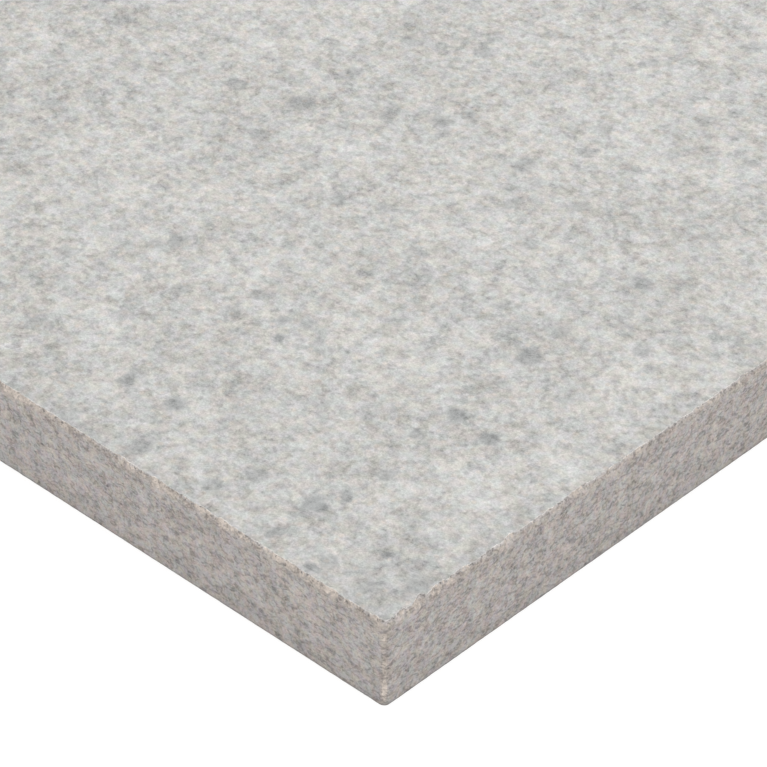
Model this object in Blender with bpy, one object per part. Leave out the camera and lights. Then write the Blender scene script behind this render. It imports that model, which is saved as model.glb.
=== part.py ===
"""Square stone slab for tooling leather, with a thin decorated face and non-slip pads.

Lengths are in metres and +Z is up. The origin is on the bench under the slab's centre. The slab's
width runs along X and its depth along Y, with the front at -Y.

The slab is one blank: a block with rubbed-down corners and a ground bevel round its top. The blank
is parted level near its top, and what lies above is the bonded face layer. So the face and the
body always share one outline and one bevel.
"""

import bmesh
import bpy

# The slab as it is cut from stock
SLAB_WIDTH = 0.305
SLAB_DEPTH = 0.305
SLAB_THICKNESS = 0.020  # underside to working face

# How its edges are finished
CORNER_RADIUS = 0.0015  # the four upright corners
TOP_BEVEL = 0.0010  # ground round the working face
BOTTOM_BEVEL = 0.0004  # rubbed off round the underside
CORNER_SEGMENTS = 6

# The decorated face, bonded on top of the body
FACE_THICKNESS = 0.0005
BOND_LINE = 0.0003

# Self-adhesive pads, one under each corner
PAD_DIAMETER = 0.025
PAD_THICKNESS = 0.002
PAD_EDGE_RADIUS = 0.0006
PAD_INSET = 0.030  # pad centre to the slab's two nearest edges
ADHESIVE_FILM = 0.0003
PAD_SIDES = 48
PAD_EDGE_SEGMENTS = 3
PAD_SHARP_ANGLE = 0.9  # radians; the top rim stays crisp, the rounded foot is smooth

# Heights that follow from those sizes
UNDERSIDE_Z = PAD_THICKNESS + ADHESIVE_FILM
WORK_FACE_Z = UNDERSIDE_Z + SLAB_THICKNESS
FACE_BOTTOM_Z = WORK_FACE_Z - FACE_THICKNESS
BODY_TOP_Z = FACE_BOTTOM_Z - BOND_LINE

SAME_HEIGHT = 1e-6

# Colour, roughness and metallic value of each material
FINISHES = {
    "speckled_body": ((0.39, 0.365, 0.35, 1.0), 0.85, 0.0),
    "pale_face": ((0.545, 0.545, 0.527, 1.0), 0.6, 0.0),
    "black_rubber": ((0.025, 0.025, 0.027, 1.0), 0.8, 0.0),
}


def clear_scene():
    for obj in list(bpy.data.objects):
        bpy.data.objects.remove(obj)


def make_material(name):
    color, roughness, metallic = FINISHES[name]
    material = bpy.data.materials.new(name)
    material.use_nodes = True
    material.diffuse_color = color
    shader = material.node_tree.nodes["Principled BSDF"]
    shader.inputs["Base Color"].default_value = color
    shader.inputs["Roughness"].default_value = roughness
    shader.inputs["Metallic"].default_value = metallic
    return material


def bevel_edges(bm, edges, width, segments):
    bmesh.ops.bevel(
        bm,
        geom=edges,
        offset=width,
        offset_type="OFFSET",
        affect="EDGES",
        segments=segments,
        profile=0.5,
        material=-1,
        clamp_overlap=True,
    )


def edges_at(bm, height):
    """The edges that lie level at this height."""
    return [
        edge
        for edge in bm.edges
        if all(abs(vert.co.z - height) < SAME_HEIGHT for vert in edge.verts)
    ]


def upright_edges(bm):
    """The edges that run from the underside to the working face."""
    return [
        edge
        for edge in bm.edges
        if abs(edge.verts[0].co.z - edge.verts[1].co.z) > SLAB_THICKNESS / 2
    ]


def slab_blank():
    """The whole slab in one piece, with its underside at Z = 0."""
    bm = bmesh.new()
    bmesh.ops.create_cube(bm, size=1.0)
    bmesh.ops.translate(bm, verts=bm.verts, vec=(0.0, 0.0, 0.5))
    bmesh.ops.scale(bm, verts=bm.verts, vec=(SLAB_WIDTH, SLAB_DEPTH, SLAB_THICKNESS))
    bevel_edges(bm, upright_edges(bm), CORNER_RADIUS, CORNER_SEGMENTS)
    bevel_edges(bm, edges_at(bm, SLAB_THICKNESS), TOP_BEVEL, 1)
    bevel_edges(bm, edges_at(bm, 0.0), BOTTOM_BEVEL, 1)
    return bm


def part_level(bm, height, keep_above):
    """Cuts the mesh level at this height, keeps one side and closes the cut."""
    bmesh.ops.bisect_plane(
        bm,
        geom=bm.verts[:] + bm.edges[:] + bm.faces[:],
        dist=SAME_HEIGHT,
        plane_co=(0.0, 0.0, height),
        plane_no=(0.0, 0.0, 1.0),
        clear_outer=not keep_above,
        clear_inner=keep_above,
    )
    rim = [edge for edge in bm.edges if edge.is_boundary]
    bmesh.ops.holes_fill(bm, edges=rim)
    bmesh.ops.recalc_face_normals(bm, faces=bm.faces)


def add_object(bm, name, finish, collection, parent, location):
    mesh = bpy.data.meshes.new(name)
    bm.to_mesh(mesh)
    bm.free()
    mesh.materials.append(finish)
    return place_object(mesh, name, collection, parent, location)


def place_object(mesh, name, collection, parent, location):
    obj = bpy.data.objects.new(name, mesh)
    obj.parent = parent
    obj.location = location
    collection.objects.link(obj)
    return obj


def make_body(collection, parent):
    bm = slab_blank()
    part_level(bm, BODY_TOP_Z - UNDERSIDE_Z, keep_above=False)
    finish = make_material("speckled_body")
    add_object(bm, "body", finish, collection, parent, (0.0, 0.0, UNDERSIDE_Z))


def make_face_layer(collection, parent):
    bm = slab_blank()
    part_level(bm, FACE_BOTTOM_Z - UNDERSIDE_Z, keep_above=True)
    finish = make_material("pale_face")
    add_object(bm, "face_layer", finish, collection, parent, (0.0, 0.0, UNDERSIDE_Z))


def pad_mesh():
    """One round pad with its foot at Z = 0 and its foot's rim rounded."""
    bm = bmesh.new()
    bmesh.ops.create_cone(
        bm,
        cap_ends=True,
        segments=PAD_SIDES,
        radius1=PAD_DIAMETER / 2,
        radius2=PAD_DIAMETER / 2,
        depth=PAD_THICKNESS,
    )
    bmesh.ops.translate(bm, verts=bm.verts, vec=(0.0, 0.0, PAD_THICKNESS / 2))
    bevel_edges(bm, edges_at(bm, 0.0), PAD_EDGE_RADIUS, PAD_EDGE_SEGMENTS)
    mesh = bpy.data.meshes.new("pad")
    bm.to_mesh(mesh)
    bm.free()
    mesh.materials.append(make_material("black_rubber"))
    mesh.shade_smooth()
    mesh.set_sharp_from_angle(angle=PAD_SHARP_ANGLE)
    return mesh


def make_pads(collection, parent):
    mesh = pad_mesh()
    reach_x = SLAB_WIDTH / 2 - PAD_INSET
    reach_y = SLAB_DEPTH / 2 - PAD_INSET
    for end, side_y in (("front", -1.0), ("back", 1.0)):
        for hand, side_x in (("left", -1.0), ("right", 1.0)):
            place = (side_x * reach_x, side_y * reach_y, 0.0)
            place_object(mesh, f"pad_{end}_{hand}", collection, parent, place)


def main():
    clear_scene()
    collection = bpy.data.collections.new("tooling_slab")
    bpy.context.scene.collection.children.link(collection)
    base = bpy.data.objects.new("slab_origin", None)
    collection.objects.link(base)
    make_body(collection, base)
    make_face_layer(collection, base)
    make_pads(collection, base)


main()
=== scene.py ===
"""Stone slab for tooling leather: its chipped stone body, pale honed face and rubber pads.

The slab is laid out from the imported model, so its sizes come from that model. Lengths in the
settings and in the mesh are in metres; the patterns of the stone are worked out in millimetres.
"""

import math
import random

import bmesh
import bpy
from bpy.props import FloatProperty, FloatVectorProperty, IntProperty, PointerProperty
from mathutils import Matrix, Vector, noise


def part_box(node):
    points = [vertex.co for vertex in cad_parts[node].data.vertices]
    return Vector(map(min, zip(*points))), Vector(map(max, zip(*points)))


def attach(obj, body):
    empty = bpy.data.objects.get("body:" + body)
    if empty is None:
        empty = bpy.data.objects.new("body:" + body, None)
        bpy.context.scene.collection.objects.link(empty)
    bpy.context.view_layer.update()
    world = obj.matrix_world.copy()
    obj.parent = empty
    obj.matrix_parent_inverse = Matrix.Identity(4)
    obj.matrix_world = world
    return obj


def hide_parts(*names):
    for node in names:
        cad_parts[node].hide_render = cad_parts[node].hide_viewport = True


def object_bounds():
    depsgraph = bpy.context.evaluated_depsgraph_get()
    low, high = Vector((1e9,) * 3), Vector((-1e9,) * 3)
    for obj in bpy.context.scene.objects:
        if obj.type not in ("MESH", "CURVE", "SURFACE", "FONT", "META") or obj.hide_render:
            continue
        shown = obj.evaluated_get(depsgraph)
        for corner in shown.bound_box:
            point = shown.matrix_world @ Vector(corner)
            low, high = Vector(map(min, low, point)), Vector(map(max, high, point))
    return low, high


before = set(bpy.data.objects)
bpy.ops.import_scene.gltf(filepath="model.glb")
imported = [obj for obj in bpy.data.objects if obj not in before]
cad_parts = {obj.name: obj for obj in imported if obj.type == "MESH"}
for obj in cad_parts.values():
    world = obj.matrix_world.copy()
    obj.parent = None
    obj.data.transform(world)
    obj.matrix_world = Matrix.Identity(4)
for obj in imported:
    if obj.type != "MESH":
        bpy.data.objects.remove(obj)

bl_info = {
    "name": "Tooling Slab",
    "version": (1, 0, 0),
    "blender": (4, 5, 0),
    "location": "3D View > Sidebar > Slab",
    "description": "Builds a stone slab for tooling leather, with its face, pads and studio",
    "category": "Object",
}

CAD_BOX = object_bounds()
BODY_LOW, BODY_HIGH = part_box("body")
FACE_LOW, FACE_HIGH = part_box("face_layer")
MM = 0.001

HALF_WIDTH = BODY_HIGH.x
HALF_DEPTH = BODY_HIGH.y
UNDERSIDE_Z = BODY_LOW.z
WORK_FACE_Z = FACE_HIGH.z
FACE_THICKNESS = FACE_HIGH.z - FACE_LOW.z
SLAB_THICKNESS = WORK_FACE_Z - UNDERSIDE_Z

# How finely the pieces are cut: loops down the bevel, cuts up a corner, and steps round a pad.
# Past INSET_REACH from the sides, every INNER_THINNING-th point of the outline is enough.
SECTION_RINGS = 3
BEVEL_RINGS = 4
CORNER_CUTS = 44
PAD_STEPS = 96
PAD_ROUND_STEPS = 6
INSET_REACH = 5.0 * MM
INNER_THINNING = 16

# Wear fades out this far below the bevel; painted shade darkens the sides this far up from the
# foot;
# and a thin line of painted contact shadow runs round the foot, this high. The right side's bevel
# is rougher and greyer.
WORN_FADE = 1.2 * MM
FOOT_SHADE_HEIGHT = 9.0 * MM
FOOT_SHADOW_HEIGHT = 0.5 * MM
RIGHT_ROUGHER = 1.5
RIGHT_GRIMIER = 0.14

# The least the bevel takes off the face, and the least of it that shows below the face layer.
LEAST_INSET = 0.15 * MM
LEAST_BELOW_FACE = 0.15 * MM

# The power that rounds the bevel's slope, how much of it a deep chip takes away, and how far
# the bevel's surface wanders in and out.
BEVEL_POWER = 1.25
CHIP_FLATTENING = 0.3
BEVEL_WANDER = 0.04 * MM

# A chip is a bowl whose depth follows this power. It's uneven by this share of its depth, and
# this share of its depth is also taken off the side.
BOWL_POWER = 0.6
CHIP_UNEVENNESS = 0.25
CHIP_ON_SIDE = 0.6

# How surely a bevel shows fresh stone, how much less so at its foot, and how much more in a
# chip that is at least this deep.
FRESH = 1.02
FRESH_LOST_AT_FOOT = 0.2
FRESH_IN_CHIP = 0.08
FRESH_CHIP_DEPTH = 0.25 * MM

# Chips scattered along the top edge: their half lengths in millimetres, and how deep they
# bite as a share of that, each from the least to the most.
SCATTERED_HALVES = (0.5, 2.2)
SCATTERED_DEPTHS = (0.05, 0.22)

# How deep an upright corner is worn away, and how far from it the wear and the fine cuts
# reach, as shares of the corner's radius.
CORNER_WEAR = 0.15 * MM
CORNER_WEAR_REACH = 1.2
CUT_REACH = 1.6

# How surely a corner shows fresh stone, and how much more so in its chipped stretches.
WORN_CORNER = 0.9
WORN_IN_CHIP = 0.4

# The pads: their rounded foot edge, their grooves and where these run, the small chamfer at
# their top, and how far the adhesive film stays in from the pad's side.
PAD_ROUND = 0.6 * MM
PAD_CHAMFER = 0.15 * MM
GROOVE_HALF = 0.35 * MM
GROOVE_SHARES = (0.25, 0.45, 0.65, 0.85)
FILM_INSET = 0.3 * MM
FILM_COLOUR = (0.62, 0.60, 0.55, 1.0)

# The studio: the bench reaches past the picture and lies just under the pads.
BENCH_RADIUS = 20.0
BENCH_GAP = 0.02 * MM
LAMP_PLACE = Vector((0.05, 0.35, 1.1))
LAMP_WIDTH = 0.9

# Where each flat and side of a piece lies on its map, which runs from 0 to 1 both ways. A flat
# has its left edge, lower edge and width. The four sides are strips above each other: where
# the lowest starts, and how high each is. A strip holds a side with its bevels laid flat.
MAP_NAME = "OFBake"
MAP_MARGIN = 0.003
FACE_TOP_ON_MAP = (MAP_MARGIN, MAP_MARGIN, 0.932)
FACE_UNDERSIDE_ON_MAP = (0.945, MAP_MARGIN, 0.05)
FACE_SIDES_ON_MAP = (0.94, 0.0145)
BODY_TOP_ON_MAP = (0.62, MAP_MARGIN, 0.37)
BODY_UNDERSIDE_ON_MAP = (MAP_MARGIN, MAP_MARGIN, 0.607)
BODY_SIDES_ON_MAP = (0.615, 0.095)

# How far down and how far up a side its map makes room for the bevel laid flat at that end,
# how much it leaves beyond the side's own height, and how level a face of a flat has to be.
TOP_UNFOLD_REACH = 3.0 * MM
FOOT_UNFOLD_REACH = 1.0 * MM
TOP_SPARE = 2.6 * MM
FOOT_SPARE = 0.5 * MM
LEVEL_WITHIN = 0.001 * MM

# Places of the colour sockets on a Mix node, whose names are shared with its other sockets.
MIX_FIRST = 6
MIX_SECOND = 7
MIX_RESULT = 2

# Chips knocked out of the top edge near the front right corner. Each is on one side of the
# slab: how far from the corner it is, its half length, and how deep it bites, in millimetres.
CHIPS_ON_FRONT = (
    (2.2, 0.8, 0.3),
    (12.5, 1.2, 0.2),
    (24.0, 2.2, 0.2),
    (41.0, 1.5, 0.4),
    (58.0, 2.0, 0.3),
)
CHIPS_ON_RIGHT = (
    (3.8, 1.4, 0.5),
    (9.0, 1.6, 0.9),
    (14.0, 2.0, 0.5),
    (20.0, 2.2, 0.4),
    (33.0, 1.6, 0.5),
    (52.0, 2.4, 0.4),
)

# Stretches of the upright corners that show fresh stone most: how high each lies on the slab
# and its half length, in millimetres.
CHIPS_UP_CORNER = (
    (17.0, 2.6),
    (9.5, 2.0),
    (3.5, 2.8),
)

# Darker grey marks in the face near its front right corner. Each is its distance in from the
# front and from the right side, its width and how dark it is, in millimetres and from 0 to 1.
FACE_MARKS = (
    (16.0, 32.5, 5.5, 1.0),
    (31.0, 29.0, 5.0, 0.7),
    (21.5, 30.0, 3.5, 0.8),
    (4.5, 32.5, 3.5, 0.8),
    (52.0, 22.5, 4.5, 0.9),
    (53.0, 32.0, 5.0, 0.9),
    (43.5, 33.0, 3.5, 0.7),
    (6.0, 19.5, 4.5, 0.7),
    (2.5, 20.5, 2.5, 0.8),
    (76.0, 34.0, 6.0, 0.8),
    (18.5, 72.5, 5.0, 0.9),
    (17.5, 84.0, 4.5, 0.8),
    (47.0, 73.0, 3.0, 1.0),
    (51.0, 76.0, 3.5, 0.7),
    (5.0, 68.0, 5.0, 0.7),
    (55.5, 109.5, 4.5, 0.7),
    (107.0, 125.0, 6.5, 0.6),
    (122.0, 77.0, 6.0, 0.6),
    (14.0, 13.0, 3.0, 0.8),
    (12.0, 3.5, 6.0, 0.7),
    (6.0, 9.0, 5.0, 0.6),
    (14.0, 46.5, 4.5, 0.7),
    (6.0, 50.0, 4.5, 0.6),
    (122.0, 100.0, 5.0, 0.7),
    (9.0, 9.0, 18.0, 0.2),
)


class SlabSizes(bpy.types.PropertyGroup):
    """Sizes of the slab's edges and of its pads' fine shape."""

    bevel_drop: FloatProperty(
        name="Bevel Drop",
        description="How far the ground bevel comes down the sides",
        default=1.2 * MM,
        min=0.7 * MM,
        max=2.0 * MM,
        unit="LENGTH",
        precision=5,
    )
    bevel_inset: FloatProperty(
        name="Bevel Inset",
        description="How far the ground bevel runs in over the working face",
        default=0.6 * MM,
        min=0.3 * MM,
        max=2.0 * MM,
        unit="LENGTH",
        precision=5,
    )
    corner_radius: FloatProperty(
        name="Corner Radius",
        description="Radius of the four upright corners",
        default=1.2 * MM,
        min=0.5 * MM,
        unit="LENGTH",
        precision=5,
    )
    foot_bevel: FloatProperty(
        name="Foot Bevel",
        description="Width rubbed off the edge of the underside",
        default=0.3 * MM,
        min=0.1 * MM,
        unit="LENGTH",
        precision=5,
    )
    edge_step: FloatProperty(
        name="Edge Step",
        description="Spacing of the points along the chipped edges",
        default=0.26 * MM,
        min=0.1 * MM,
        unit="LENGTH",
        precision=5,
    )
    raggedness: FloatProperty(
        name="Raggedness",
        description="How far the bevel's edges wander, as a share of its width",
        default=0.3,
        min=0.0,
        max=0.6,
        subtype="FACTOR",
    )
    chips: IntProperty(
        name="Chips",
        description="Chips scattered along the whole top edge",
        default=90,
        min=0,
    )
    seed: IntProperty(name="Seed", description="Picks another scatter of chips", default=7)


class SlabColours(bpy.types.PropertyGroup):
    """Colours of the stone and the rubber."""

    face: FloatVectorProperty(
        name="Face",
        description="Main tone of the working face",
        default=(0.3945, 0.390, 0.375),
        subtype="COLOR",
        min=0.0,
        max=1.0,
    )
    body: FloatVectorProperty(
        name="Body",
        description="Main tone of the sawn sides",
        default=(0.3075, 0.2847, 0.2730),
        subtype="COLOR",
        min=0.0,
        max=1.0,
    )
    worn: FloatVectorProperty(
        name="Worn Edge",
        description="Tone of fresh stone where an edge is ground or chipped",
        default=(0.405, 0.356, 0.316),
        subtype="COLOR",
        min=0.0,
        max=1.0,
    )
    rubber: FloatVectorProperty(
        name="Rubber",
        description="Tone of the pads",
        default=(0.022, 0.022, 0.024),
        subtype="COLOR",
        min=0.0,
        max=1.0,
    )


class StudioSettings(bpy.types.PropertyGroup):
    """The camera and the light."""

    lens: FloatProperty(
        name="Lens",
        description="Focal length",
        default=213.5,
        unit="CAMERA",
    )
    azimuth: FloatProperty(
        name="Azimuth",
        description="Turn of the camera from the front towards the right side",
        default=math.radians(43.29),
        subtype="ANGLE",
    )
    elevation: FloatProperty(
        name="Elevation",
        description="Height of the camera above the bench",
        default=math.radians(38.06),
        subtype="ANGLE",
    )
    roll: FloatProperty(
        name="Roll",
        description="Tilt of the camera about its own axis",
        default=math.radians(0.35),
        subtype="ANGLE",
    )
    distance: FloatProperty(
        name="Distance",
        description="From the front right corner to the camera, along its axis",
        default=0.823,
        unit="LENGTH",
    )
    aim_height: FloatProperty(
        name="Aim Height",
        description="How far above the corner's foot the camera looks",
        default=0.05883,
        unit="LENGTH",
        precision=5,
    )
    aim_side: FloatProperty(
        name="Aim Side",
        description="How far to the right of the corner the camera looks",
        default=-0.0002,
        unit="LENGTH",
        precision=5,
    )
    sky: FloatProperty(name="Sky", description="Brightness of the white room", default=1.01)
    lamp: FloatProperty(
        name="Lamp",
        description="Power of the soft lamp overhead, in watts",
        default=5.6,
    )


# ---------------------------------------------------------------------------------------------
# Meshes


def edge_stations(sizes):
    """Walks round the slab: (point on the outer edge, matching point further in) for each stop.

    Both outlines are rounded squares. The inner one is set in by INSET_REACH, and a point set in
    by less lies on the line between the two.
    """
    radius = sizes.corner_radius
    arc_steps = max(6, round(radius * math.pi / 2 / sizes.edge_step) + 4)
    stations = []
    for turn in range(4):
        quarter = Matrix.Rotation(turn * math.pi / 2, 3, "Z")
        long_way = HALF_WIDTH if turn % 2 else HALF_DEPTH
        reach = HALF_DEPTH if turn % 2 else HALF_WIDTH
        straight = 2 * (long_way - radius)
        steps = round(straight / sizes.edge_step)
        inner_reach = reach - INSET_REACH
        inner_half = long_way - INSET_REACH - radius
        for step in range(steps):
            share = step / steps
            outer = Vector((reach, (share - 0.5) * straight, 0.0))
            inner = Vector((inner_reach, (2 * share - 1) * inner_half, 0.0))
            stations.append((quarter @ outer, quarter @ inner))
        for step in range(arc_steps):
            angle = step / arc_steps * math.pi / 2
            way = Vector((math.cos(angle), math.sin(angle), 0.0)) * radius
            outer = Vector((reach - radius, long_way - radius, 0.0)) + way
            inner = Vector((inner_reach - radius, inner_half, 0.0)) + way
            stations.append((quarter @ outer, quarter @ inner))
    return stations


def wander(place, pitch, seed):
    """Smooth noise between about -1 and 1 that changes over this pitch, in millimetres."""
    at = place / (pitch * MM) + Vector((seed, 3.7 * seed, 1.9 * seed))
    return 1.6 * noise.noise(at)


def all_chips(sizes):
    """(place, half length, depth) of every chip, in metres."""
    chips = []
    for along, half, deep in CHIPS_ON_FRONT:
        chips.append((Vector((HALF_WIDTH - along * MM, -HALF_DEPTH, 0.0)), half * MM, deep * MM))
    for along, half, deep in CHIPS_ON_RIGHT:
        chips.append((Vector((HALF_WIDTH, -HALF_DEPTH + along * MM, 0.0)), half * MM, deep * MM))
    draw = random.Random(sizes.seed)
    for _ in range(sizes.chips):
        turn = Matrix.Rotation(draw.randrange(4) * math.pi / 2, 3, "Z")
        place = turn @ Vector((HALF_WIDTH, draw.uniform(-1, 1) * HALF_DEPTH, 0.0))
        half = draw.uniform(*SCATTERED_HALVES) * MM
        chips.append((place, half, half * draw.uniform(*SCATTERED_DEPTHS)))
    return chips


def bevel_widths(stations, sizes):
    """(width on the face, drop down the side, how chipped) of the bevel at each station."""
    chips = all_chips(sizes)
    longest = max(half for _, half, _ in chips)
    widths = []
    for outer, _ in stations:
        bite = 0.0
        for place, half, deep in chips:
            offset = outer - place
            if abs(offset.x) < longest and abs(offset.y) < longest:
                share = offset.length / half
                if share < 1.0:
                    bite = max(bite, deep * (1.0 - share * share) ** BOWL_POWER)
        bite *= 1.0 + CHIP_UNEVENNESS * wander(outer, 0.7, 9)
        sway = 0.5 * wander(outer, 4.0, 1) + 0.5 * wander(outer, 1.3, 2)
        nick = 0.5 * wander(outer, 0.5, 3)
        side_sway = 0.6 * wander(outer, 3.0, 4) + 0.4 * wander(outer, 0.9, 5)
        rough = sizes.raggedness * (RIGHT_ROUGHER if outer.x > HALF_WIDTH - MM else 1.0)
        top = sizes.bevel_inset * (1.0 + rough * (sway + nick)) + bite
        side = sizes.bevel_drop * (1.0 + sizes.raggedness * side_sway) + CHIP_ON_SIDE * bite
        least_drop = FACE_THICKNESS + LEAST_BELOW_FACE
        widths.append((max(top, LEAST_INSET), max(side, least_drop), bite))
    return widths


class Edge:
    """The slab's chipped outline, as a place for every station, inset and drop."""

    def __init__(self, sizes):
        self.stations = edge_stations(sizes)
        self.widths = bevel_widths(self.stations, sizes)
        self.count = len(self.stations)

    def place(self, station, inset, drop):
        """The point this far in from the side and this far below the working face."""
        outer, inner = self.stations[station]
        spot = outer.lerp(inner, max(inset, 0.0) / INSET_REACH)
        return Vector((spot.x, spot.y, WORK_FACE_Z - max(drop, 0.0)))

    def on_bevel(self, station, drop):
        """The point of the bevel this far below the working face."""
        top, side, bite = self.widths[station]
        share = min(drop / side, 1.0)
        power = BEVEL_POWER - CHIP_FLATTENING * min(bite / MM, 1.0)
        inset = top * (1.0 - share) ** power
        mid_slope = 4.0 * share * (1.0 - share)
        here = self.place(station, inset, drop)
        inset += mid_slope * BEVEL_WANDER * (wander(here, 0.9, 11) + wander(here, 0.45, 12))
        return self.place(station, inset, drop)

    def freshness(self, station):
        """How surely the bevel shows fresh stone: about 1, less on the right, more in a chip."""
        grimier = RIGHT_GRIMIER if self.stations[station][0].x > HALF_WIDTH - MM else 0.0
        chipped = min(self.widths[station][2] / FRESH_CHIP_DEPTH, 1.0)
        return FRESH - grimier + FRESH_IN_CHIP * chipped


def ring_of(bm, count):
    """A closed loop of this many vertices, in order, for the caller to put in place."""
    made = bmesh.ops.create_circle(bm, segments=count, radius=1.0)
    return sorted(made["verts"], key=lambda v: math.atan2(v.co.y, v.co.x) % math.tau)


def extrude_ring(bm, ring):
    """Extrudes the loop once and returns the new loop, in the same order."""
    count = len(ring)
    edges = [bm.edges.get((ring[i], ring[(i + 1) % count])) for i in range(count)]
    made = bmesh.ops.extrude_edge_only(bm, edges=edges)["geom"]
    new = {v for v in made if isinstance(v, bmesh.types.BMVert)}
    out = []
    for vert in ring:
        across = next(e.other_vert(vert) for e in vert.link_edges if e.other_vert(vert) in new)
        out.append(across)
    return out


def close_ring(bm, edge, ring, drop, thin):
    """Runs the loop in to a regular outline, keeps every thin-th point of it and fills it."""
    inner = extrude_ring(bm, ring)
    for i, vert in enumerate(inner):
        vert.co = edge.place(i, INSET_REACH, drop)
        for layer in bm.verts.layers.float.values():
            vert[layer] = 0.0
    kept = set(inner[::thin])
    bmesh.ops.dissolve_verts(bm, verts=[v for v in inner if v not in kept])
    bmesh.ops.holes_fill(bm, edges=[e for e in bm.edges if kept.issuperset(e.verts)])


def lay_out_map(bm, top, underside, sides):
    """Lays every face on the piece's map, so that its finish can be saved as a picture."""
    map_layer = bm.loops.layers.uv.new(MAP_NAME)
    low = min(vert.co.z for vert in bm.verts)
    high = max(vert.co.z for vert in bm.verts)
    first_strip, strip_height = sides
    for face in bm.faces:
        heights = [vert.co.z for vert in face.verts]
        centre = face.calc_center_median()
        flat = max(heights) - min(heights) < LEVEL_WITHIN
        left, lower, width = top if centre.z > (low + high) / 2 else underside
        faces_x = HALF_WIDTH - abs(centre.x) < HALF_DEPTH - abs(centre.y)
        side = (0 if centre.x > 0.0 else 1) if faces_x else (2 if centre.y > 0.0 else 3)
        for loop in face.loops:
            spot = loop.vert.co
            share_x = 0.5 + spot.x / (2 * HALF_WIDTH)
            share_y = 0.5 + spot.y / (2 * HALF_DEPTH)
            if flat:
                loop[map_layer].uv = (left + width * share_x, lower + width * share_y)
                continue
            inset = HALF_WIDTH - abs(spot.x) if faces_x else HALF_DEPTH - abs(spot.y)
            rise = spot.z - low
            rise += inset * max(0.0, 1.0 - (high - spot.z) / TOP_UNFOLD_REACH)
            rise -= inset * max(0.0, 1.0 - (spot.z - low) / FOOT_UNFOLD_REACH)
            share = (rise + FOOT_SPARE) / (high - low + FOOT_SPARE + TOP_SPARE)
            along = share_y if faces_x else share_x
            loop[map_layer].uv = (
                MAP_MARGIN + (1.0 - 2 * MAP_MARGIN) * along,
                first_strip + strip_height * (side + share),
            )


def finish_mesh(bm, name, materials):
    """Turns the mesh outwards and puts it in the scene as a piece with these materials."""
    bmesh.ops.recalc_face_normals(bm, faces=bm.faces)
    mesh = bpy.data.meshes.new(name)
    bm.to_mesh(mesh)
    bm.free()
    for material in materials:
        mesh.materials.append(material)
    piece = bpy.data.objects.new(name, mesh)
    bpy.context.scene.collection.objects.link(piece)
    return piece


# ---------------------------------------------------------------------------------------------
# Materials


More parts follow.
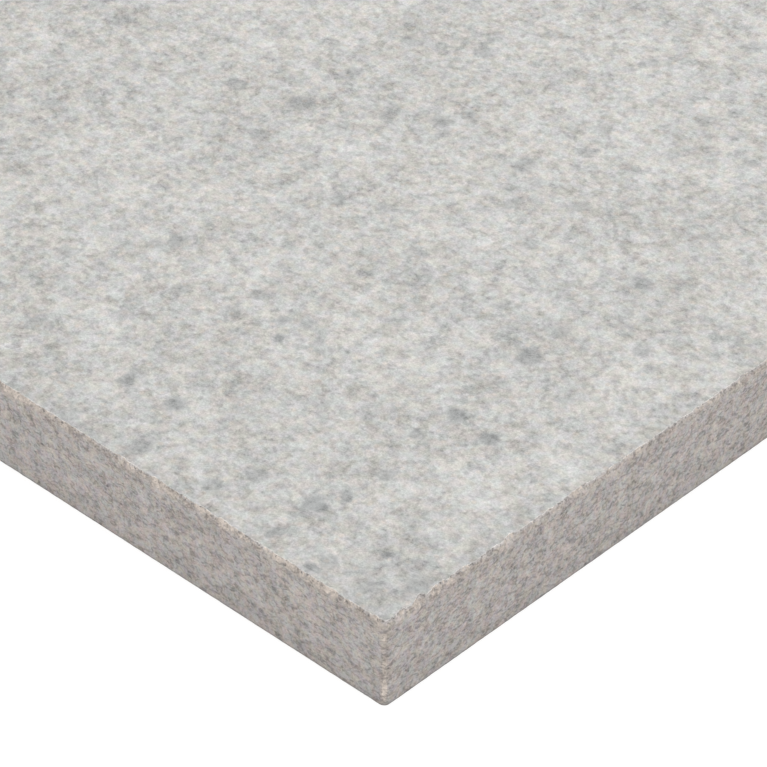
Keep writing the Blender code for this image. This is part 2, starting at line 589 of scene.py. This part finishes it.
class Finish:
    """One material's nodes. Patterns are laid out in millimetres on the piece's own coordinates."""

    def __init__(self, name):
        self.material = bpy.data.materials.new(name)
        self.material.use_nodes = True
        self.tree = self.material.node_tree
        self.shader = self.tree.nodes["Principled BSDF"]
        coordinates = self.add("TexCoord")
        mapping = self.add("Mapping", {"Vector": coordinates.outputs["Object"]})
        mapping.inputs["Scale"].default_value = (1 / MM, 1 / MM, 1 / MM)
        self.place = mapping.outputs["Vector"]

    def add(self, kind, inputs=None, **settings):
        node = self.tree.nodes.new("ShaderNode" + kind)
        for name, value in settings.items():
            setattr(node, name, value)
        for name, value in (inputs or {}).items():
            self.put(node.inputs[name], value)
        return node

    def put(self, socket, value):
        if isinstance(value, bpy.types.NodeSocket):
            self.tree.links.new(value, socket)
        else:
            socket.default_value = value

    def maths(self, operation, first, second=0.0):
        node = self.add("Math", operation=operation)
        self.put(node.inputs[0], first)
        self.put(node.inputs[1], second)
        return node.outputs["Value"]

    def noise(self, per_mm, octaves=1, gain=0.5, shift=(0.0, 0.0, 0.0), distortion=0.0, place=None):
        """Smooth noise from 0 to 1 with this many features to the millimetre."""
        moved = self.add("VectorMath", operation="ADD")
        self.put(moved.inputs[0], place or self.place)
        self.put(moved.inputs[1], shift)
        node = self.add(
            "TexNoise",
            {
                "Vector": moved.outputs["Vector"],
                "Scale": per_mm,
                "Detail": float(octaves - 1),
                "Roughness": gain,
                "Distortion": distortion,
            },
        )
        return node.outputs["Fac"]

    def sway(self, tone, pattern, gain):
        """tone with a pattern's swing about its middle added, times gain."""
        centred = self.maths("SUBTRACT", pattern, 0.5)
        return self.maths("ADD", tone, self.maths("MULTIPLY", centred, gain))

    def band(self, value, low, high, smooth=True):
        """0 below low and 1 above high; low may be the larger."""
        node = self.add("MapRange", {"Value": value, "From Min": low, "From Max": high})
        node.interpolation_type = "SMOOTHSTEP" if smooth else "LINEAR"
        return node.outputs["Result"]

    def mix(self, share, first, second):
        """The first colour where share is 0 and the second where it is 1."""
        node = self.add("Mix", data_type="RGBA", blend_type="MIX")
        self.put(node.inputs[0], share)
        self.put(node.inputs[MIX_FIRST], first)
        self.put(node.inputs[MIX_SECOND], second)
        return node.outputs[MIX_RESULT]

    def lit(self, colour, tone):
        """colour times tone."""
        node = self.add("VectorMath", operation="SCALE")
        plain = not isinstance(colour, bpy.types.NodeSocket)
        self.put(node.inputs[0], colour[:3] if plain else colour)
        self.put(node.inputs["Scale"], tone)
        return node.outputs["Vector"]

    def tinge(self, colour, pattern):
        """colour made a little greener where the pattern is low and pinker where it is high."""
        share = self.band(pattern, low=0.36, high=0.64)
        tint = self.mix(share, (0.985, 1.012, 0.99, 1.0), (1.015, 0.988, 1.01, 1.0))
        node = self.add("VectorMath", operation="MULTIPLY")
        self.put(node.inputs[0], colour)
        self.put(node.inputs[1], tint)
        return node.outputs["Vector"]

    def warped(self, per_mm, reach, shift=(0.0, 0.0, 0.0)):
        """The coordinates pushed about by up to about half of reach, in millimetres."""
        moved = self.add("VectorMath", operation="ADD")
        self.put(moved.inputs[0], self.place)
        self.put(moved.inputs[1], shift)
        node = self.add(
            "TexNoise", {"Vector": moved.outputs["Vector"], "Scale": per_mm, "Detail": 1.0}
        )
        push = self.add("VectorMath", operation="MULTIPLY_ADD")
        self.put(push.inputs[0], node.outputs["Color"])
        self.put(push.inputs[1], (reach, reach, reach))
        self.put(push.inputs[2], self.place)
        back = self.add("VectorMath", operation="SUBTRACT")
        self.put(back.inputs[0], push.outputs["Vector"])
        self.put(back.inputs[1], (reach / 2, reach / 2, reach / 2))
        return back.outputs["Vector"]

    def blots(self, place, pitch, width, share):
        """Soft round marks seen from above: cells this far apart, of which this share hold one."""
        cells = self.add("TexVoronoi", voronoi_dimensions="2D", feature="F1")
        self.put(cells.inputs["Vector"], place)
        self.put(cells.inputs["Scale"], 1 / pitch)
        rim = 0.5 * width / pitch
        core = 0.2 * width / pitch
        near = self.band(cells.outputs["Distance"], low=rim, high=core)
        pick = self.add("SeparateColor", {"Color": cells.outputs["Color"]})
        chosen = self.maths("LESS_THAN", pick.outputs["Red"], share)
        return self.maths("MULTIPLY", near, chosen)

    def done(self, colour, roughness, height, depth):
        """Wires the colour, the roughness and the relief, which is depth metres deep."""
        self.put(self.shader.inputs["Base Color"], colour)
        self.put(self.shader.inputs["Roughness"], roughness)
        bump = self.add("Bump", {"Height": height, "Distance": depth, "Strength": 1.0})
        self.put(self.shader.inputs["Normal"], bump.outputs["Normal"])
        return self.material


def rgba(colour, scale=1.0):
    """The colour times scale, with full opacity."""
    return (*(channel * scale for channel in colour), 1.0)


def tinted(colour, red, green, blue):
    """The colour with each of its channels scaled, with full opacity."""
    return (colour[0] * red, colour[1] * green, colour[2] * blue, 1.0)


def pale_face_material(colours):
    """The decorated face: pale grey with soft darker marks, warm specks and a fine grain."""
    scattered_strength = 0.5
    mark_darkening = 0.33
    rim_darkening = 0.08
    speck_strength = 0.4
    grain_depth = 0.05 * MM

    f = Finish("pale_face")
    fine = f.noise(per_mm=1.1, octaves=3, gain=0.95)
    grains = f.noise(per_mm=0.42, octaves=2, gain=0.9, shift=(5.0, 5.0, 0.0))
    grains = f.band(grains, low=0.34, high=0.54)
    mottle = f.noise(per_mm=0.2, octaves=2, gain=0.9, shift=(31.0, 7.0, 0.0))
    cloud = f.noise(per_mm=0.045, octaves=2, gain=0.6, shift=(3.0, 61.0, 0.0))
    tone = f.sway(1.0, fine, gain=1.35)
    tone = f.sway(tone, grains, gain=0.2)
    tone = f.sway(tone, mottle, gain=0.65)
    tone = f.sway(tone, cloud, gain=0.34)

    flat = f.add("VectorMath", operation="MULTIPLY")
    f.put(flat.inputs[0], f.warped(per_mm=0.45, reach=3.0))
    f.put(flat.inputs[1], (1.0, 1.0, 0.0))
    ragged = flat.outputs["Vector"]
    past_placed_marks = f.band(distance_in(f, ragged, 0.0, 0.0), low=60.0, high=90.0)
    marks = f.blots(ragged, pitch=13.0, width=5.5, share=0.38)
    marks = f.maths("MULTIPLY", marks, scattered_strength)
    marks = f.maths("MULTIPLY", marks, past_placed_marks)
    for from_front, from_right, width, strength in FACE_MARKS:
        gap = distance_in(f, ragged, from_front, from_right)
        mark = f.band(gap, low=0.62 * width, high=0.26 * width)
        marks = f.maths("MAXIMUM", marks, f.maths("MULTIPLY", mark, strength))
    rim = f.add("Attribute", attribute_name="rim").outputs["Fac"]
    mark_shade = f.maths("MULTIPLY", marks, mark_darkening)
    shade = f.maths("ADD", mark_shade, f.maths("MULTIPLY", rim, rim_darkening))
    tone = f.maths("MULTIPLY", tone, f.maths("SUBTRACT", 1.0, shade))

    cool = tinted(colours.face, red=0.98, green=1.0, blue=1.025)
    warm = tinted(colours.face, red=1.025, green=1.0, blue=0.97)
    hue = f.noise(per_mm=0.38, octaves=2, gain=0.6, shift=(0.0, 0.0, 19.0))
    colour = f.mix(f.band(hue, low=0.36, high=0.64), cool, warm)
    colour = f.tinge(colour, f.noise(per_mm=0.45, octaves=2, gain=0.6, shift=(0.0, 44.0, 2.0)))
    colour = f.mix(marks, colour, tinted(colours.face, red=0.965, green=1.0, blue=1.035))
    bent = f.warped(per_mm=1.2, reach=0.8, shift=(9.0, 2.0, 0.0))
    specks = f.maths("MULTIPLY", f.blots(bent, pitch=2.7, width=1.5, share=0.16), speck_strength)
    colour = f.mix(specks, colour, tinted(colours.face, red=1.14, green=1.0, blue=0.9))
    colour = f.lit(colour, tone)

    roughness = f.sway(0.62, fine, gain=0.3)
    return f.done(colour, roughness, f.sway(0.5, fine, gain=1.0), grain_depth)


def distance_in(f, place, from_front, from_right):
    """Distance over the face to the point this far in from the front and from the right."""
    gap = f.add("VectorMath", operation="DISTANCE")
    f.put(gap.inputs[0], place)
    f.put(gap.inputs[1], (HALF_WIDTH / MM - from_right, from_front - HALF_DEPTH / MM, 0.0))
    return gap.outputs["Value"]


def add_speckle(f):
    """The dark worm-like speckle of the body, drawn out along its sides: (tone about 1, grain)."""
    drawn_out = f.add("VectorMath", operation="MULTIPLY")
    f.put(drawn_out.inputs[0], f.place)
    f.put(drawn_out.inputs[1], (0.85, 0.85, 1.3))
    place = drawn_out.outputs["Vector"]
    worms = f.noise(per_mm=0.8, octaves=2, gain=0.75, distortion=0.6, place=place)
    worms = f.band(worms, low=0.3, high=0.58)
    fine = f.noise(per_mm=1.9, octaves=2, gain=1.0, shift=(5.0, 17.0, 3.0), place=place)
    patch = f.noise(per_mm=0.3, octaves=2, gain=0.6, shift=(11.0, 0.0, 8.0))
    tone = f.sway(1.0, worms, gain=0.42)
    tone = f.sway(tone, fine, gain=1.3)
    return f.sway(tone, patch, gain=0.75), fine


def speckled_body_material(colours):
    """The body's sawn sides, paler and warmer where an edge is ground or chipped."""
    foot_shade_tone = 0.87
    handled_strength = 0.45
    pit_shade_strength = 0.5
    foot_shadow_strength = 0.6
    grain_depth = 0.07 * MM

    f = Finish("speckled_body")
    tone, fine = add_speckle(f)
    cool = tinted(colours.body, red=0.97, green=1.0, blue=1.03)
    warm = tinted(colours.body, red=1.04, green=1.0, blue=0.95)
    hue = f.noise(per_mm=0.55, octaves=2, gain=0.8, shift=(0.0, 23.0, 0.0))
    colour = f.mix(f.band(hue, low=0.38, high=0.62), cool, warm)
    colour = f.tinge(colour, f.noise(per_mm=0.5, octaves=2, gain=0.8, shift=(0.0, 44.0, 2.0)))
    colour = f.tinge(colour, f.noise(per_mm=0.9, octaves=2, gain=0.8, shift=(8.0, 4.0, 2.0)))
    colour = f.lit(colour, tone)
    # Painted shade: the sides darken towards the foot.
    height = f.add("SeparateXYZ", {"Vector": f.place}).outputs["Z"]
    out_of_foot_shade = f.band(height, UNDERSIDE_Z / MM, (UNDERSIDE_Z + FOOT_SHADE_HEIGHT) / MM, smooth=False)
    colour = f.mix(out_of_foot_shade, f.lit(colour, foot_shade_tone), colour)

    worn = f.add("Attribute", attribute_name="worn").outputs["Fac"]
    handled = f.maths("MULTIPLY", worn, handled_strength)
    rubbed = tinted(colours.body, red=1.14, green=1.07, blue=0.98)
    colour = f.mix(handled, colour, f.lit(rubbed, tone))
    colour = f.mix(broken_stretches(f, worn), colour, f.lit(rgba(colours.worn), tone))
    # Painted shade of small pits along the worn edge.
    pit_shade = f.maths("MULTIPLY", worn, pit_shade_flecks(f))
    pit_shade = f.maths("MULTIPLY", pit_shade, pit_shade_strength)
    colour = f.mix(pit_shade, colour, rgba(colours.body, scale=0.6))

    # Painted contact shadow: a thin dark line round the foot.
    foot_shadow = f.add("Attribute", attribute_name="foot_shadow").outputs["Fac"]
    foot_shadow = f.maths("MULTIPLY", foot_shadow, foot_shadow_strength)
    colour = f.mix(foot_shadow, colour, rgba(colours.body, scale=0.35))

    return f.done(colour, f.sway(0.86, fine, gain=0.3), tone, grain_depth)


def broken_stretches(f, worn):
    """Where a worn edge shows fresh stone: stretches a few millimetres long with ragged ends."""
    long = f.noise(per_mm=0.22, octaves=2, gain=0.8, shift=(12.0, 2.0, 40.0))
    ragged = f.noise(per_mm=1.1, octaves=2, gain=0.9, shift=(7.0, 2.0, 4.0))
    broken = f.sway(worn, long, gain=1.0)
    broken = f.sway(broken, ragged, gain=0.7)
    return f.band(broken, low=0.9, high=1.04)


def pit_shade_flecks(f):
    """Dark flecks painted as the shade in small pits along a broken edge."""
    holes = f.noise(per_mm=1.5, octaves=2, gain=0.8, shift=(3.0, 30.0, 4.0))
    return f.band(holes, low=0.4, high=0.33)


def face_section_material(colours):
    """The cut edge of the face layer, seen where the bevel crosses it."""
    f = Finish("face_section")
    tone, fine = add_speckle(f)
    worn = f.add("Attribute", attribute_name="worn").outputs["Fac"]
    whole = rgba(colours.body, scale=1.15)
    colour = f.mix(broken_stretches(f, worn), whole, rgba(colours.worn))
    # Painted shade of small pits along the cut edge.
    pit_shade = f.maths("MULTIPLY", pit_shade_flecks(f), 0.8)
    colour = f.mix(pit_shade, colour, rgba(colours.body, scale=0.5))
    # Painted highlight: a bright line along the top of the cut edge, where the rim is marked.
    rim = f.add("Attribute", attribute_name="rim").outputs["Fac"]
    colour = f.mix(f.maths("MULTIPLY", rim, 0.7), colour, rgba(colours.face, scale=1.6))
    colour = f.lit(colour, tone)
    return f.done(colour, f.sway(0.8, fine, gain=0.3), fine, 0.05 * MM)


def rubber_material(colours):
    """Matt moulded rubber with a fine even texture and a little dust."""
    f = Finish("black_rubber")
    grain = f.noise(per_mm=5.0, octaves=2, gain=0.6)
    dust = f.noise(per_mm=0.35, octaves=3, gain=0.7, shift=(4.0, 9.0, 0.0))
    dust = f.maths("MULTIPLY", f.band(dust, low=0.45, high=0.75), 0.25)
    colour = f.mix(dust, rgba(colours.rubber), rgba(colours.rubber, scale=3.2))
    colour = f.lit(colour, f.sway(1.0, grain, gain=0.5))
    return f.done(colour, f.sway(0.78, grain, gain=0.3), grain, 0.05 * MM)


def adhesive_material():
    """The pale double-sided film that holds a pad."""
    f = Finish("adhesive_film")
    grain = f.noise(per_mm=2.0, octaves=3, gain=0.7)
    colour = f.lit(FILM_COLOUR, f.sway(1.0, grain, gain=0.3))
    return f.done(colour, f.sway(0.5, grain, gain=0.2), grain, 0.02 * MM)


def bench_material():
    """The plain pale bench: grey with a white glow, so it looks white and its shadows are faint."""
    f = Finish("pale_bench")
    cloud = f.noise(per_mm=0.01, octaves=2)
    colour = f.lit((0.3, 0.3, 0.3, 1.0), f.sway(1.0, cloud, gain=0.02))
    f.put(f.shader.inputs["Base Color"], colour)
    f.shader.inputs["Roughness"].default_value = 0.9
    f.shader.inputs["Emission Color"].default_value = (1.0, 1.0, 1.0, 1.0)
    f.shader.inputs["Emission Strength"].default_value = 0.85
    return f.material


# ---------------------------------------------------------------------------------------------
# Pieces


def make_face_layer(sizes, colours):
    edge = Edge(sizes)
    bm = bmesh.new()
    bright = bm.verts.layers.float.new("rim")
    worn = bm.verts.layers.float.new("worn")
    top_rim = ring_of(bm, edge.count)
    # The top ring is marked as the rim, where a painted highlight runs along the face's edge.
    for i, vert in enumerate(top_rim):
        vert.co = edge.on_bevel(i, 0.0)
        vert[bright] = 1.0
        vert[worn] = edge.freshness(i)
    rim = top_rim
    for step in range(1, SECTION_RINGS + 1):
        rim = extrude_ring(bm, rim)
        for i, vert in enumerate(rim):
            vert.co = edge.on_bevel(i, FACE_THICKNESS * step / SECTION_RINGS)
            vert[bright] = 0.0
            vert[worn] = edge.freshness(i)
    section = set(bm.faces)
    close_ring(bm, edge, rim, FACE_THICKNESS, INNER_THINNING)
    close_ring(bm, edge, top_rim, 0.0, INNER_THINNING)
    for face in bm.faces:
        face.material_index = int(face in section)
    lay_out_map(bm, FACE_TOP_ON_MAP, FACE_UNDERSIDE_ON_MAP, FACE_SIDES_ON_MAP)
    materials = (pale_face_material(colours), face_section_material(colours))
    piece = finish_mesh(bm, "pale_face_layer", materials)
    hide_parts("face_layer")
    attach(piece, "root")


def make_body(sizes, colours):
    edge = Edge(sizes)
    bm = bmesh.new()
    worn = bm.verts.layers.float.new("worn")
    foot_shadow = bm.verts.layers.float.new("foot_shadow")
    top_rim = ring_of(bm, edge.count)
    for i, vert in enumerate(top_rim):
        vert.co = edge.on_bevel(i, FACE_THICKNESS)
        vert[worn] = edge.freshness(i)
    rim = top_rim
    for step in range(1, BEVEL_RINGS + 1):
        rim = extrude_ring(bm, rim)
        for i, vert in enumerate(rim):
            side = edge.widths[i][1]
            share = step / BEVEL_RINGS
            vert.co = edge.on_bevel(i, FACE_THICKNESS + (side - FACE_THICKNESS) * share)
            vert[worn] = edge.freshness(i) - FRESH_LOST_AT_FOOT * share
    rim = extrude_ring(bm, rim)
    for i, vert in enumerate(rim):
        vert.co = edge.place(i, 0.0, edge.widths[i][1] + WORN_FADE)
        vert[worn] = 0.0
    side_top = rim
    rim = extrude_ring(bm, rim)
    feet = []
    for i, vert in enumerate(rim):
        outer = edge.stations[i][0]
        foot = sizes.foot_bevel * (1.0 + 0.15 * wander(outer, 1.7, 21))
        feet.append(foot)
        vert.co = edge.place(i, 0.0, SLAB_THICKNESS - foot - FOOT_SHADOW_HEIGHT)
    side_foot = rim
    # The rings round the foot carry the thin line of painted contact shadow.
    rim = extrude_ring(bm, rim)
    for i, vert in enumerate(rim):
        vert.co = edge.place(i, 0.0, SLAB_THICKNESS - feet[i])
        vert[foot_shadow] = 1.0
    rim = extrude_ring(bm, rim)
    for i, vert in enumerate(rim):
        vert.co = edge.place(i, feet[i], SLAB_THICKNESS)
        vert[foot_shadow] = 1.0
    rim = extrude_ring(bm, rim)
    for i, vert in enumerate(rim):
        vert.co = edge.place(i, feet[i] + FOOT_SHADOW_HEIGHT, SLAB_THICKNESS)
        vert[foot_shadow] = 0.0
    close_ring(bm, edge, rim, SLAB_THICKNESS, INNER_THINNING)
    close_ring(bm, edge, top_rim, FACE_THICKNESS, INNER_THINNING)
    wear_corners(bm, worn, sizes, side_top, side_foot)
    lay_out_map(bm, BODY_TOP_ON_MAP, BODY_UNDERSIDE_ON_MAP, BODY_SIDES_ON_MAP)
    piece = finish_mesh(bm, "stone_body", (speckled_body_material(colours),))
    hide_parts("body")
    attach(piece, "root")


def wear_corners(bm, worn, sizes, side_top, side_foot):
    """Cuts the upright corners finely from top to foot and wears them back unevenly."""
    reach = sizes.corner_radius
    uprights = []
    for high, low in zip(side_top, side_foot):
        from_corner = max(HALF_WIDTH - abs(high.co.x), HALF_DEPTH - abs(high.co.y))
        if from_corner < CUT_REACH * reach:
            uprights.append(bm.edges.get((high, low)))
    made = bmesh.ops.subdivide_edges(bm, edges=uprights, cuts=CORNER_CUTS, use_grid_fill=True)
    for vert in [v for v in made["geom_inner"] if isinstance(v, bmesh.types.BMVert)]:
        from_corner = max(HALF_WIDTH - abs(vert.co.x), HALF_DEPTH - abs(vert.co.y))
        weight = max(0.0, 1.0 - from_corner / reach / CORNER_WEAR_REACH)
        bite = 0.6 + 0.5 * wander(vert.co, 1.4, 31) + 0.4 * wander(vert.co, 0.6, 32)
        inwards = Vector((-math.copysign(1.0, vert.co.x), -math.copysign(1.0, vert.co.y), 0.0))
        vert.co += inwards * (weight * max(0.0, bite) * CORNER_WEAR)
        height = (vert.co.z - UNDERSIDE_Z) / MM
        # Every other corner has its stretches the other way up.
        if vert.co.x * vert.co.y > 0.0:
            height = SLAB_THICKNESS / MM - height
        chip = max(1.0 - abs(height - middle) / half for middle, half in CHIPS_UP_CORNER)
        chipped = max(0.0, min(1.0, 2.0 * chip))
        vert[worn] = min(1.0, 1.5 * weight) * (WORN_CORNER + WORN_IN_CHIP * chipped)


def make_pads(colours):
    rubber = rubber_material(colours)
    film = adhesive_material()
    for node in [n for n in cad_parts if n.startswith("pad_")]:
        low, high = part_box(node)
        bm = bmesh.new()
        spin_disc(bm, pad_profile(low, high), (low + high) / 2)
        for face in bm.faces:
            face.smooth = True
        rubber_faces = set(bm.faces)
        film_radius = (high.x - low.x) / 2 - FILM_INSET
        outline = [
            (0.0, high.z),
            (film_radius, high.z),
            (film_radius, UNDERSIDE_Z),
            (0.0, UNDERSIDE_Z),
        ]
        spin_disc(bm, outline, (low + high) / 2)
        for face in bm.faces:
            face.material_index = int(face not in rubber_faces)
        piece = finish_mesh(bm, node.replace("pad", "rubber_pad"), (rubber, film))
        piece.data.set_sharp_from_angle(angle=math.radians(35))
        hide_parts(node)
        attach(piece, "root")


def pad_profile(low, high):
    """The pad's outline from the middle of its foot to the middle of its top."""
    radius = (high.x - low.x) / 2
    points = [(0.0, low.z)]
    for share in GROOVE_SHARES:
        middle = share * (radius - PAD_ROUND)
        points.append((middle - GROOVE_HALF, low.z))
        points.append((middle - 0.4 * GROOVE_HALF, low.z + GROOVE_HALF))
        points.append((middle + 0.4 * GROOVE_HALF, low.z + GROOVE_HALF))
        points.append((middle + GROOVE_HALF, low.z))
    for step in range(PAD_ROUND_STEPS + 1):
        angle = step / PAD_ROUND_STEPS * math.pi / 2
        points.append(
            (
                radius - PAD_ROUND * (1.0 - math.sin(angle)),
                low.z + PAD_ROUND * (1.0 - math.cos(angle)),
            )
        )
    points.append((radius, high.z - PAD_CHAMFER))
    points.append((radius - PAD_CHAMFER, high.z))
    points.append((0.0, high.z))
    return points


def spin_disc(bm, outline, centre):
    """Spins an outline of (radius, height) pairs round the upright axis through centre."""
    earlier = set(bm.verts)
    verts = [bm.verts.new((centre.x + r, centre.y, z)) for r, z in outline]
    edges = [bm.edges.new(pair) for pair in zip(verts, verts[1:])]
    bmesh.ops.spin(
        bm,
        geom=verts + edges,
        cent=(centre.x, centre.y, 0.0),
        axis=(0.0, 0.0, 1.0),
        angle=math.tau,
        steps=PAD_STEPS,
        use_merge=True,
    )
    spun = [vert for vert in bm.verts if vert not in earlier]
    bmesh.ops.remove_doubles(bm, verts=spun, dist=0.001 * MM)


def make_stage(studio):
    bm = bmesh.new()
    bmesh.ops.create_circle(bm, cap_ends=True, segments=96, radius=BENCH_RADIUS)
    bmesh.ops.translate(bm, verts=bm.verts, vec=(0.0, 0.0, CAD_BOX[0].z - BENCH_GAP))
    floor = finish_mesh(bm, "pale_bench", (bench_material(),))

    world = bpy.data.worlds.new("white_room")
    world.use_nodes = True
    background = world.node_tree.nodes["Background"]
    background.inputs["Color"].default_value = (1.0, 1.0, 1.0, 1.0)
    background.inputs["Strength"].default_value = studio.sky
    bpy.context.scene.world = world

    lamp_data = bpy.data.lights.new("soft_lamp", "AREA")
    lamp_data.shape = "DISK"
    lamp_data.size = LAMP_WIDTH
    lamp_data.energy = studio.lamp
    lamp = bpy.data.objects.new("soft_lamp", lamp_data)
    lamp.location = LAMP_PLACE
    lamp.rotation_euler = (-LAMP_PLACE).to_track_quat("-Z", "Y").to_euler()
    bpy.context.scene.collection.objects.link(lamp)

    corner = Vector((HALF_WIDTH, -HALF_DEPTH, UNDERSIDE_Z))
    level = math.cos(studio.elevation)
    back = Vector(
        (
            math.sin(studio.azimuth) * level,
            -math.cos(studio.azimuth) * level,
            math.sin(studio.elevation),
        )
    )
    right = Vector((0.0, 0.0, 1.0)).cross(back).normalized()
    up = back.cross(right)
    up, right = (
        up * math.cos(studio.roll) - right * math.sin(studio.roll),
        right * math.cos(studio.roll) + up * math.sin(studio.roll),
    )
    data = bpy.data.cameras.new("camera")
    data.lens = studio.lens
    data.sensor_width = 36.0
    data.clip_start = 0.01
    data.clip_end = 100.0
    camera = bpy.data.objects.new("camera", data)
    turn = Matrix((right, up, back)).transposed()
    camera.matrix_world = turn.to_4x4()
    aim = corner + up * studio.aim_height + right * studio.aim_side
    camera.location = aim + back * studio.distance
    bpy.context.scene.collection.objects.link(camera)
    bpy.context.scene.camera = camera
    bpy.context.scene.view_settings.view_transform = "Standard"


# ---------------------------------------------------------------------------------------------
# The add-on's operators and panel


class SLAB_OT_body(bpy.types.Operator):
    """Build the chipped stone body"""

    bl_idname = "slab.body"
    bl_label = "Stone Body"
    bl_options = {"REGISTER", "UNDO"}

    def execute(self, context):
        make_body(context.scene.slab_sizes, context.scene.slab_colours)
        return {"FINISHED"}


class SLAB_OT_face_layer(bpy.types.Operator):
    """Build the pale face layer on top of the body"""

    bl_idname = "slab.face_layer"
    bl_label = "Face Layer"
    bl_options = {"REGISTER", "UNDO"}

    def execute(self, context):
        make_face_layer(context.scene.slab_sizes, context.scene.slab_colours)
        return {"FINISHED"}


class SLAB_OT_pads(bpy.types.Operator):
    """Build the rubber pads and their adhesive film"""

    bl_idname = "slab.pads"
    bl_label = "Pads"
    bl_options = {"REGISTER", "UNDO"}

    def execute(self, context):
        make_pads(context.scene.slab_colours)
        return {"FINISHED"}


class SLAB_OT_stage(bpy.types.Operator):
    """Set up the pale bench, the soft light and the camera"""

    bl_idname = "slab.stage"
    bl_label = "Studio"
    bl_options = {"REGISTER", "UNDO"}

    def execute(self, context):
        make_stage(context.scene.slab_studio)
        return {"FINISHED"}


class SLAB_PT_sidebar(bpy.types.Panel):
    """Lists the settings and the operators"""

    bl_label = "Tooling Slab"
    bl_idname = "SLAB_PT_sidebar"
    bl_space_type = "VIEW_3D"
    bl_region_type = "UI"
    bl_category = "Slab"

    def draw(self, context):
        for group, operators in (
            (context.scene.slab_sizes, ("slab.body", "slab.face_layer", "slab.pads")),
            (context.scene.slab_colours, ()),
            (context.scene.slab_studio, ("slab.stage",)),
        ):
            box = self.layout.box()
            for name in group.__annotations__:
                box.prop(group, name)
            for operator in operators:
                box.operator(operator)


GROUPS = {
    "slab_sizes": SlabSizes,
    "slab_colours": SlabColours,
    "slab_studio": StudioSettings,
}
OPERATORS_AND_PANEL = (
    SLAB_OT_body,
    SLAB_OT_face_layer,
    SLAB_OT_pads,
    SLAB_OT_stage,
    SLAB_PT_sidebar,
)


def register():
    for name, group in GROUPS.items():
        bpy.utils.register_class(group)
        setattr(bpy.types.Scene, name, PointerProperty(type=group))
    for kind in OPERATORS_AND_PANEL:
        bpy.utils.register_class(kind)


def unregister():
    for kind in reversed(OPERATORS_AND_PANEL):
        bpy.utils.unregister_class(kind)
    for name, group in GROUPS.items():
        delattr(bpy.types.Scene, name)
        bpy.utils.unregister_class(group)


def main():
    register()
    bpy.ops.slab.body()
    bpy.ops.slab.face_layer()
    bpy.ops.slab.pads()
    bpy.ops.slab.stage()


if __name__ == "__main__":
    main()
